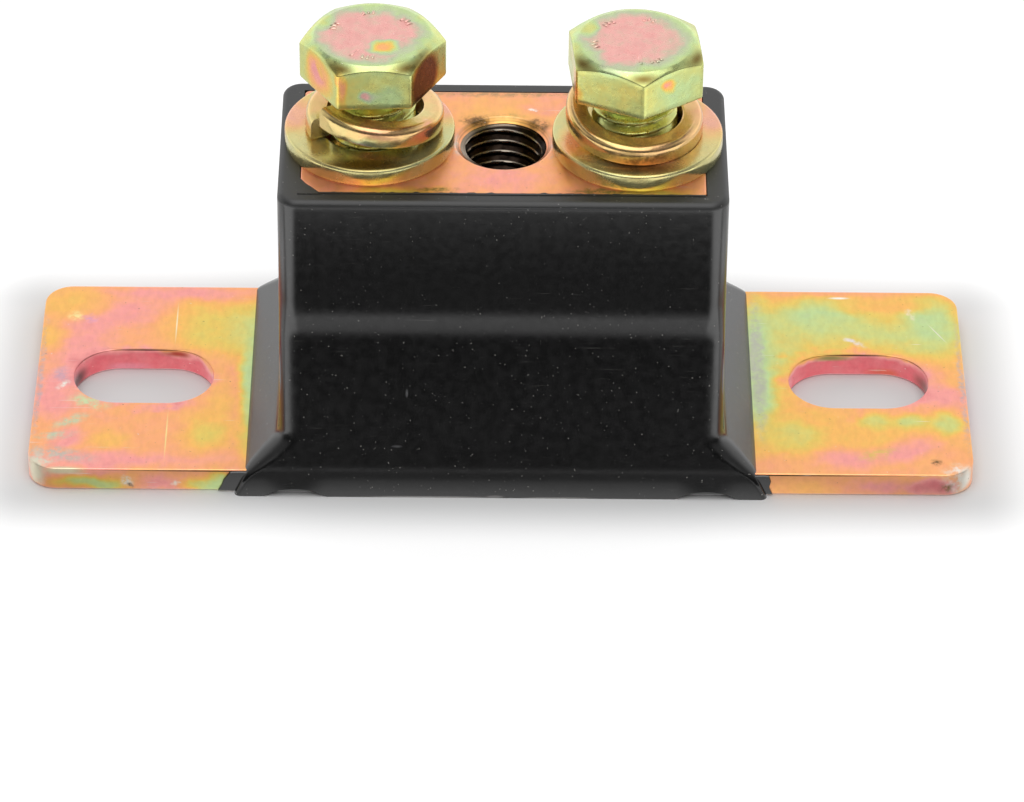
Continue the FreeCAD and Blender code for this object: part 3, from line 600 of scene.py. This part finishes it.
# The countersunk mouth and bore of a tapped hole, out from its radius
MOUTH = [(1.1, INSERT_TOP), (0.95, INSERT_TOP), (0.78, INSERT_TOP - 0.03), (0.66, INSERT_TOP - 0.13),
         (0.0, INSERT_TOP - 0.7), (0.0, INSERT_FOOT + 0.2), (0.3, INSERT_FOOT)]
piece("Top_plate", *plate_skin(
    [(box_outline(INSERT_X, INSERT_Y, INSERT_CORNER, 54, 24), rolled(INSERT_TOP, 0.25, INSERT_FOOT))]
    + [(circle_outline(x, 0, HOLE_RADIUS), MOUTH) for x in (-BOLT_X, 0, BOLT_X)]),
    zinc_insert, "zinc_insert", "top_plate")


def thread_rings(crest, root, bottom, top, steps=96):
    """A thread as a sleeve whose radius swings between crest and root along a helix."""
    rings = []
    rows = int((top - bottom) / PITCH * 12)
    for i in range(rows + 1):
        z = bottom + (top - bottom) * i / rows
        ring = []
        for j in range(steps):
            turn = 2 * math.pi * j / steps
            phase = (z / PITCH - turn / (2 * math.pi)) % 1.0
            depth = min(1.0, max(0.0, (abs(2 * phase - 1) - 0.12) / 0.76))
            fade = max(0.0, min(1.0, (top - z) / 0.3, (z - bottom) / 0.8))
            radius = crest + (root - crest) * depth * fade
            ring.append((radius * math.cos(turn), radius * math.sin(turn), z))
        rings.append(ring)
    return rings


piece("Thread_of_the_middle_hole", *join_rings(thread_rings(5.98, 5.3, INSERT_FOOT, INSERT_TOP - 0.7)),
      bare_thread, "zinc_insert")


# Bolts

def hex_radius(turn, flat, soft):
    """Distance from the axis to the side of a hexagon with slightly rounded corners."""
    centre = (flat - soft) / math.cos(math.pi / 6)
    delta = (turn + math.pi / 6) % (math.pi / 3) - math.pi / 6
    edge = math.atan2(soft * 0.5, centre + soft * math.cos(math.pi / 6))
    if abs(delta) < edge:
        return centre * math.cos(delta) + math.sqrt(soft ** 2 - (centre * math.sin(delta)) ** 2)
    return flat / math.cos(math.pi / 6 - abs(delta))


# Plain raised bars on a crown: heading, distance from the axis, half length, half width
MARKS = [(240, 5.0, 1.1, 0.2)]
for heading in (35, 95, 155, 262):
    MARKS += [(heading + 7 * k, 5.9 - 0.2 * abs(k), 0.42, 0.16) for k in (-1, 0, 1)]


def bolt(name, node, x, top, turn):
    """Hex bolt with a chamfered crown, plain raised ticks and a rolled thread."""
    flat, height, crown = HEAD_FLAT, HEAD_HEIGHT, CROWN_RADIUS
    low = height - 0.15
    lean = math.tan(math.pi / 6)
    steps = 240
    seat = top - height
    columns = []
    for j in range(steps):
        angle = 2 * math.pi * j / steps
        reach = hex_radius(angle, flat, 0.4)
        brow = low - (reach - crown) * lean
        column = [(0.4, low), (3.0, low), (6.0, low), (7.6, low), (crown - 0.25, low), (crown, low - 0.06),
                  (crown + 0.2, low - 0.17)]
        span = reach - crown
        for t in (0.55, 0.8):
            column.append((crown + span * t, low - span * t * lean))
        column += [(reach - 0.12, brow + 0.05), (reach - 0.03, brow - 0.02), (reach, brow - 0.16),
                   (reach, brow - 0.8), (reach, 1.0), (reach, 0.3), (reach - 0.08, 0.08), (reach - 0.3, 0.0),
                   (7.4, 0.0), (6.2, 0.0)]
        columns.append([(r * math.cos(angle), r * math.sin(angle), z) for r, z in column])
    rings = [list(ring) for ring in zip(*columns)]
    head = join_rings(rings)
    cap = ([*rings[0]], [tuple(range(steps))])
    shank = join_rings(thread_rings(5.95, 4.95, -BOLT_LENGTH, 0.02))
    tip = [(px, py, -BOLT_LENGTH) for px, py in circle_outline(0, 0, 4.9)()]
    end = (tip, [tuple(range(len(tip)))])
    ticks = []
    for degrees, reach, long, wide in MARKS:
        bearing = math.radians(degrees)
        out = Vector((math.cos(bearing), math.sin(bearing), 0))
        side = Vector((-out.y, out.x, 0))
        loops = []
        for growth, z in ((0.1, low - 0.05), (0.08, low), (0.0, height - 0.03), (-0.06, height)):
            along, across, up = out * (long + growth), side * (wide + growth), Vector((0, 0, z))
            loops.append([tuple(out * reach + a * along + b * across + up)
                          for a, b in ((1, -1), (1, 1), (-1, 1), (-1, -1))])
        bars = join_rings(loops)
        ticks.append(merge(bars, (loops[-1], [(0, 1, 2, 3)])))
    points, faces = merge(head, cap, shank, end, *ticks)
    spin = Matrix.Rotation(math.radians(turn), 3, "Z")
    moved = [tuple(spin @ Vector(p) + Vector((x, 0, seat))) for p in points]
    return piece(name, moved, faces, zinc_bolt, "zinc_bolt", node, sharp=50)


bolt("Left_bolt", "bolt_left", -BOLT_X, LEFT_HEAD_TOP, LEFT_HEAD_TURN)
bolt("Right_bolt", "bolt_right", BOLT_X, RIGHT_HEAD_TOP, RIGHT_HEAD_TURN)


# Washers

def flat_washer(name, node):
    """Punched washer with a rolled upper rim and a sharp lower edge."""
    x, y = middle(node)
    bore, rim, thick = 6.75, 11.85, FLAT_WASHER_TOP - INSERT_TOP
    profile = [(bore, 0.15), (bore, 2.3), (bore + 0.15, 2.46), (bore + 0.4, thick), (bore + 0.45, thick),
               (rim - 0.5, thick), (rim - 0.45, thick), (rim - 0.3, thick - 0.02), (rim - 0.17, thick - 0.08),
               (rim - 0.07, thick - 0.18), (rim - 0.02, thick - 0.32), (rim, thick - 0.6), (rim, 0.5),
               (rim - 0.05, 0.2), (rim - 0.15, 0.0), (bore + 0.15, 0.0)]
    steps = 160
    rings = [[(px, py, INSERT_TOP + z) for px, py in circle_outline(x, y, r, steps)()] for r, z in profile]
    return piece(name, *join_rings(rings, along=True), zinc_washer, "zinc_washer", node)


flat_washer("Left_flat_washer", "flat_washer_left")
flat_washer("Right_flat_washer", "flat_washer_right")


def spring_washer(name, node, x, gap_heading):
    """One left-handed turn of square wire with a worn round outer edge, open at a slanted gap."""
    inner, wire, rise, gap = 6.65, 2.9, 3.1, 2.0
    outer = inner + wire
    section = [(inner + 0.1, 0.0), (outer - 0.3, 0.0), (outer - 0.06, 0.1), (outer, 0.3), (outer, 1.85),
               (outer - 0.06, 2.2), (outer - 0.2, 2.5), (outer - 0.42, 2.72), (outer - 0.72, 2.85),
               (outer - 1.0, wire), (outer - 1.1, wire),
               (inner + 0.35, wire), (inner + 0.25, wire), (inner + 0.05, wire - 0.12), (inner, wire - 0.35),
               (inner, 0.15)]
    steps = 150
    rings = []
    for i in range(steps + 1):
        ring = []
        for r, z in section:
            lean = math.tan(math.radians(9)) * (z - wire / 2)
            start = math.asin((gap / 2 - lean) / r)
            stop = 2 * math.pi - math.asin((gap / 2 + lean) / r)
            turn = start + (stop - start) * i / steps
            ring.append((r * math.cos(turn), r * math.sin(turn), z + rise * (1 - turn / (2 * math.pi))))
        rings.append(ring)
    points, faces = join_rings(rings)
    count = len(section)
    faces += [tuple(range(count)), tuple(range(steps * count, steps * count + count))]
    lean = math.atan(0.25 * rise / (inner + wire / 2))
    lay = Matrix.Rotation(math.radians(gap_heading), 3, "Z") @ Matrix.Rotation(-lean, 3, "Y")
    laid = [lay @ Vector(p) for p in points]
    low = min(p.z for p in laid)
    return piece(name, [(p.x + x, p.y, p.z - low + FLAT_WASHER_TOP) for p in laid], faces, zinc_spring,
                 "zinc_spring_washer", node, sharp=45)


spring_washer("Left_spring_washer", "spring_washer_left", -BOLT_X, LEFT_GAP_HEADING)
spring_washer("Right_spring_washer", "spring_washer_right", BOLT_X, RIGHT_GAP_HEADING)


# Rubber block

def arch_height(off):
    """Height of the arch in the hem at a distance from its centre along X."""
    radius = (ARCH_HALF ** 2 + ARCH_RISE ** 2) / (2 * ARCH_RISE)
    if off < ARCH_HALF:
        return max(0.0, math.sqrt(radius ** 2 - off ** 2) - (radius - ARCH_RISE))
    return 0.0


def block_levels():
    """Heights of the rings over the block, each with how far the rolled rim draws it in."""
    heights = [0.0, 0.12] + [0.3 + 0.28 * k for k in range(30)]
    while heights[-1] < INSERT_TOP - 1.2:
        heights.append(min(heights[-1] + 0.42, INSERT_TOP - RIM_ROLL))
    levels = [(z, 0.0) for z in heights]
    for k in range(1, 10):
        turn = math.pi / 2 * k / 9
        levels.append((INSERT_TOP - RIM_ROLL * (1 - math.sin(turn)), -RIM_ROLL * (1 - math.cos(turn))))
    return levels


def rubber_skin():
    """The moulded block, ring by ring from the foot of the hem up over the rim to the top plate."""
    front = rounded([(BLOCK_Y, INSERT_TOP), (15.6, CREASE_Z, 17.0), (23.23, TOP, 12.0), (HEM_Y, 0.0)])
    side = rounded([(BLOCK_X, INSERT_TOP), (BLOCK_X, FLARE_TOP, 2.0), (FLARE_X, TOP, 3.0), (FOOT_X, 0.0)],
                   step=0.1)
    rings = []
    for z, inset in block_levels():
        sharpened = 1.8 * min(1.0, max(0.0, (6.2 - z) / 4.0))
        ring = box_ring(at_height(side, z) + inset, at_height(front, z) + inset, 2.7 - sharpened + inset)
        lift = max(0.0, 1 - z / ARCH_FADE)
        rings.append([(px, py, z + lift * arch_height(abs(abs(px) - ARCH_X))) for px, py in ring])
    for k, (dx, dy) in enumerate(((1.5, 1.35), (2.1, 1.7), (2.7, 2.05), (3.05, 2.36))):
        rim = box_ring(BLOCK_X - dx, BLOCK_Y - dy, max(1.3 - 0.4 * k, 0.1))
        rings.append([(px, py, INSERT_TOP) for px, py in rim])
    rings.append([(px, py, INSERT_TOP - 1) for px, py in box_ring(INSERT_X + 0.05, INSERT_Y + 0.04, 0.1)])
    return rings


block_points, block_faces = join_rings(rubber_skin())
# The skin that would run through the base plate is left out
hidden = {i for i, (x, y, z) in enumerate(block_points) if abs(y) < PLATE_Y - 0.2 and z < TOP - 0.1}
block_faces = [face for face in block_faces if not all(i in hidden for i in face)]
piece("Rubber_block", block_points, block_faces, rubber, "moulded_rubber", "rubber_block", sharp=40)


def flash_film(name, corners, thick):
    """A thin torn film of rubber on the front face of the base plate, from its (x, z) corners."""
    centre = Vector((sum(x for x, _ in corners) / len(corners), sum(z for _, z in corners) / len(corners)))
    y = FRONT + 0.02
    rings = [[(x, y, z) for x, z in corners]]
    for grown, out in ((1.0, thick * 0.6), (0.93, thick)):
        rings.append([(centre.x + (x - centre.x) * grown, y - out, centre.y + (z - centre.y) * grown)
                      for x, z in corners])
    points, faces = join_rings(rings)
    start = 2 * len(corners)
    faces.append(tuple(range(start, start + len(corners))))
    return piece(name, points, faces, rubber, "moulded_rubber")


def top_film(name, corners, thick=0.09):
    """A thin film of rubber that crept over the edge of the top plate, from its (x, y) corners."""
    points = [(x, y, z) for z in (INSERT_TOP - 0.02, INSERT_TOP + thick) for x, y in corners]
    count = len(corners)
    faces = [(i, (i + 1) % count, (i + 1) % count + count, i + count) for i in range(count)]
    faces.append(tuple(range(count, 2 * count)))
    return piece(name, points, faces, rubber, "moulded_rubber")


def ragged(x):
    """Depth of the ragged film at a place along the top plate's front edge."""
    wave = noise.noise(Vector((x * 0.8, 3.1, 0))) + 0.5 * noise.noise(Vector((x * 3, 1.7, 0)))
    return 0.16 + 0.34 * max(0.0, wave)


flash_film("Left_film_on_the_plate", [(-35.4, 3.4), (-36.6, 3.44), (-37.9, 3.38), (-38.3, 2.9), (-38.9, 2.0),
                                      (-39.2, 1.1), (-39.7, 0.15), (-37.6, 0.1), (-35.4, 0.3)], 0.3)
flash_film("Right_film_on_the_plate", [(35.4, 3.4), (36.8, 3.44), (37.6, 3.38), (37.9, 2.4), (37.7, 1.4),
                                       (38.2, 0.15), (35.4, 0.3)], 0.3)
top_film("Film_on_the_corner_of_the_top_plate",
         [(-28.3, -9.0), (-28.3, -13.3), (-25.0, -13.3), (-25.45, -12.75), (-26.4, -11.6), (-27.1, -10.9),
          (-27.9, -9.6)])
places = [-25.4 + 0.35 * k for k in range(153)]
top_film("Film_along_the_front_of_the_top_plate", [(x, -INSERT_Y - 0.2) for x in places[::-1]]
         + [(x, -INSERT_Y + ragged(x)) for x in places])
for side, label in ((-1, "Left"), (1, "Right")):
    corners = [(side * x, z) for x, z in ((23.6, 0.03), (23.6, 2.0), (34.2, 2.0), (34.2, 0.03))]
    flash_film(f"{label}_film_in_the_arch", corners, 0.15)


# Floor, light and camera

FLOOR_TONE = "#dcdcdc"
FLOOR_GLOW = 0.42
FLOOR_HALF = 6.0
PICTURE_WIDTH = 1024
FOCAL_PIXELS = 5697.7
EYE = Vector((-2.064, -663.77, 479.146))
PITCH_DOWN, YAW, ROLL = 0.6255956, 0.0054803, -0.0109863


def floor_gloss(tree, place):
    """What the floor shows in reflections: bright beside the part and well in front of it, dim in between."""
    parts = tree.nodes.new("ShaderNodeSeparateXYZ")
    tree.links.new(place, parts.inputs[0])
    aside = add(tree, "ShaderNodeMath", {0: parts.outputs[0]}, operation="ABSOLUTE")
    depth = parts.outputs[1]
    zone = product(tree, between(tree, depth, -89, -84, 1.0, 0.0), between(tree, depth, -106, -98, 0.7, 1.15))
    near = product(tree, between(tree, depth, -36, -22, 0.2, 1.0), between(tree, depth, -60, -48, 0.4, 1.0))
    front = add(tree, "ShaderNodeMath", {0: near, 1: zone}, operation="MAXIMUM")
    dip = add(tree, "ShaderNodeMath", {0: between(tree, depth, -34, -29, 1.0, 0.34),
                                       1: between(tree, depth, -24, -20, 0.34, 0.62)}, operation="MAXIMUM")
    level = blend(tree, between(tree, aside, 36, 64), front, product(tree, dip, 1.5), "FLOAT")
    return product(tree, level, between(tree, depth, -700, -300, 0.06, 1.0))


def set_up_floor():
    """A plain pale floor, whitened in the picture away from the part."""
    mesh = bpy.data.meshes.new("Floor")
    square = [(x * FLOOR_HALF, y * FLOOR_HALF, 0) for x, y in ((-1, -1), (1, -1), (1, 1), (-1, 1))]
    mesh.from_pydata(square, [], [(0, 1, 2, 3)])
    floor = bpy.data.objects.new("Floor", mesh)
    bpy.context.scene.collection.objects.link(floor)
    material, tree = new_material("Pale floor")
    place = millimetres(tree)
    paths = tree.nodes.new("ShaderNodeLightPath")
    folded = add(tree, "ShaderNodeVectorMath", {0: place}, operation="ABSOLUTE")
    past = add(tree, "ShaderNodeVectorMath", {0: folded, 1: (PLATE_X, PLATE_Y, 0)}, operation="SUBTRACT")
    past = add(tree, "ShaderNodeVectorMath", {0: past, 1: (0, 0, 0)}, operation="MAXIMUM")
    distance = add(tree, "ShaderNodeVectorMath", {0: past}, out="Value", operation="LENGTH")
    white_out = product(tree, between(tree, distance, 0, 13), FLOOR_GLOW)
    glossy = product(tree, paths.outputs["Is Glossy Ray"], floor_gloss(tree, place))
    own = add(tree, "ShaderNodeMath", {0: paths.outputs["Is Camera Ray"], 1: white_out, 2: glossy},
              operation="MULTIPLY_ADD")
    white = blend(tree, paths.outputs["Is Glossy Ray"], paint(FLOOR_TONE), (0, 0, 0, 1))
    diffuse = add(tree, "ShaderNodeBsdfDiffuse", {"Color": white})
    glow = add(tree, "ShaderNodeEmission", {"Color": paint("#ffffff"), "Strength": own})
    both = add(tree, "ShaderNodeAddShader", {0: diffuse, 1: glow})
    tree.links.new(both, tree.nodes.new("ShaderNodeOutputMaterial").inputs[0])
    mesh.materials.append(material)


def set_up_world():
    """Bright walls behind the part and overhead, dark ones low on the near side."""
    world = bpy.data.worlds.new("Studio")
    bpy.context.scene.world = world
    world.use_nodes = True
    tree = world.node_tree
    tree.nodes.clear()
    parts = tree.nodes.new("ShaderNodeSeparateXYZ")
    tree.links.new(add(tree, "ShaderNodeTexCoord", out="Generated"), parts.inputs[0])
    front = between(tree, parts.outputs[2], 0.15, 0.6, 0.03, 0.3)
    behind = between(tree, parts.outputs[2], 0.2, 0.45, 1.35, 1.0)
    back = blend(tree, between(tree, parts.outputs[1], -0.35, 0.3), front, behind, "FLOAT")
    beside = add(tree, "ShaderNodeMath", {0: parts.outputs[0]}, operation="ABSOLUTE")
    overhead = between(tree, beside, 0.16, 0.34, 0.9, 0.12)
    level = blend(tree, between(tree, parts.outputs[2], 0.60, 0.80), back, overhead, "FLOAT")
    seen = add(tree, "ShaderNodeLightPath", out="Is Camera Ray")
    strength = blend(tree, seen, level, 1.0, "FLOAT")
    glow = add(tree, "ShaderNodeBackground", {"Color": paint("#ffffff"), "Strength": strength})
    tree.links.new(glow, tree.nodes.new("ShaderNodeOutputWorld").inputs[0])


def softbox(name, place, width, height, power):
    """A soft rectangular lamp aimed at the part."""
    lamp = bpy.data.lights.new(name, "AREA")
    lamp.shape = "RECTANGLE"
    lamp.size = width
    lamp.size_y = height
    lamp.energy = power
    thing = bpy.data.objects.new(name, lamp)
    thing.location = place
    thing.rotation_euler = (Vector((0, 0, 0.03)) - Vector(place)).to_track_quat("-Z", "Y").to_euler()
    bpy.context.scene.collection.objects.link(thing)


def set_up_camera():
    """The camera at the photograph's angle."""
    turn = Matrix.Rotation(YAW, 3, "Z")
    tip = Matrix(((1, 0, 0), (0, math.sin(PITCH_DOWN), math.cos(PITCH_DOWN)),
                  (0, math.cos(PITCH_DOWN), -math.sin(PITCH_DOWN))))
    bank = Matrix(((math.cos(ROLL), -math.sin(ROLL), 0), (math.sin(ROLL), math.cos(ROLL), 0), (0, 0, 1)))
    axes = bank @ tip @ turn
    right, up, forward = axes[0], axes[1], axes[2]
    turned = Matrix((right, up, -forward)).transposed().to_4x4()
    turned.translation = EYE * MM
    lens = bpy.data.cameras.new("Camera")
    lens.sensor_fit = "HORIZONTAL"
    lens.sensor_width = 36
    lens.lens = FOCAL_PIXELS * lens.sensor_width / PICTURE_WIDTH
    camera = bpy.data.objects.new("Camera", lens)
    camera.matrix_world = turned
    bpy.context.scene.collection.objects.link(camera)
    bpy.context.scene.camera = camera


set_up_floor()
set_up_world()
softbox("Softbox over the part", (0.0, -0.4, 1.3), 1.3, 2.2, 13.0)
set_up_camera()
bpy.context.scene.view_settings.view_transform = "Standard"
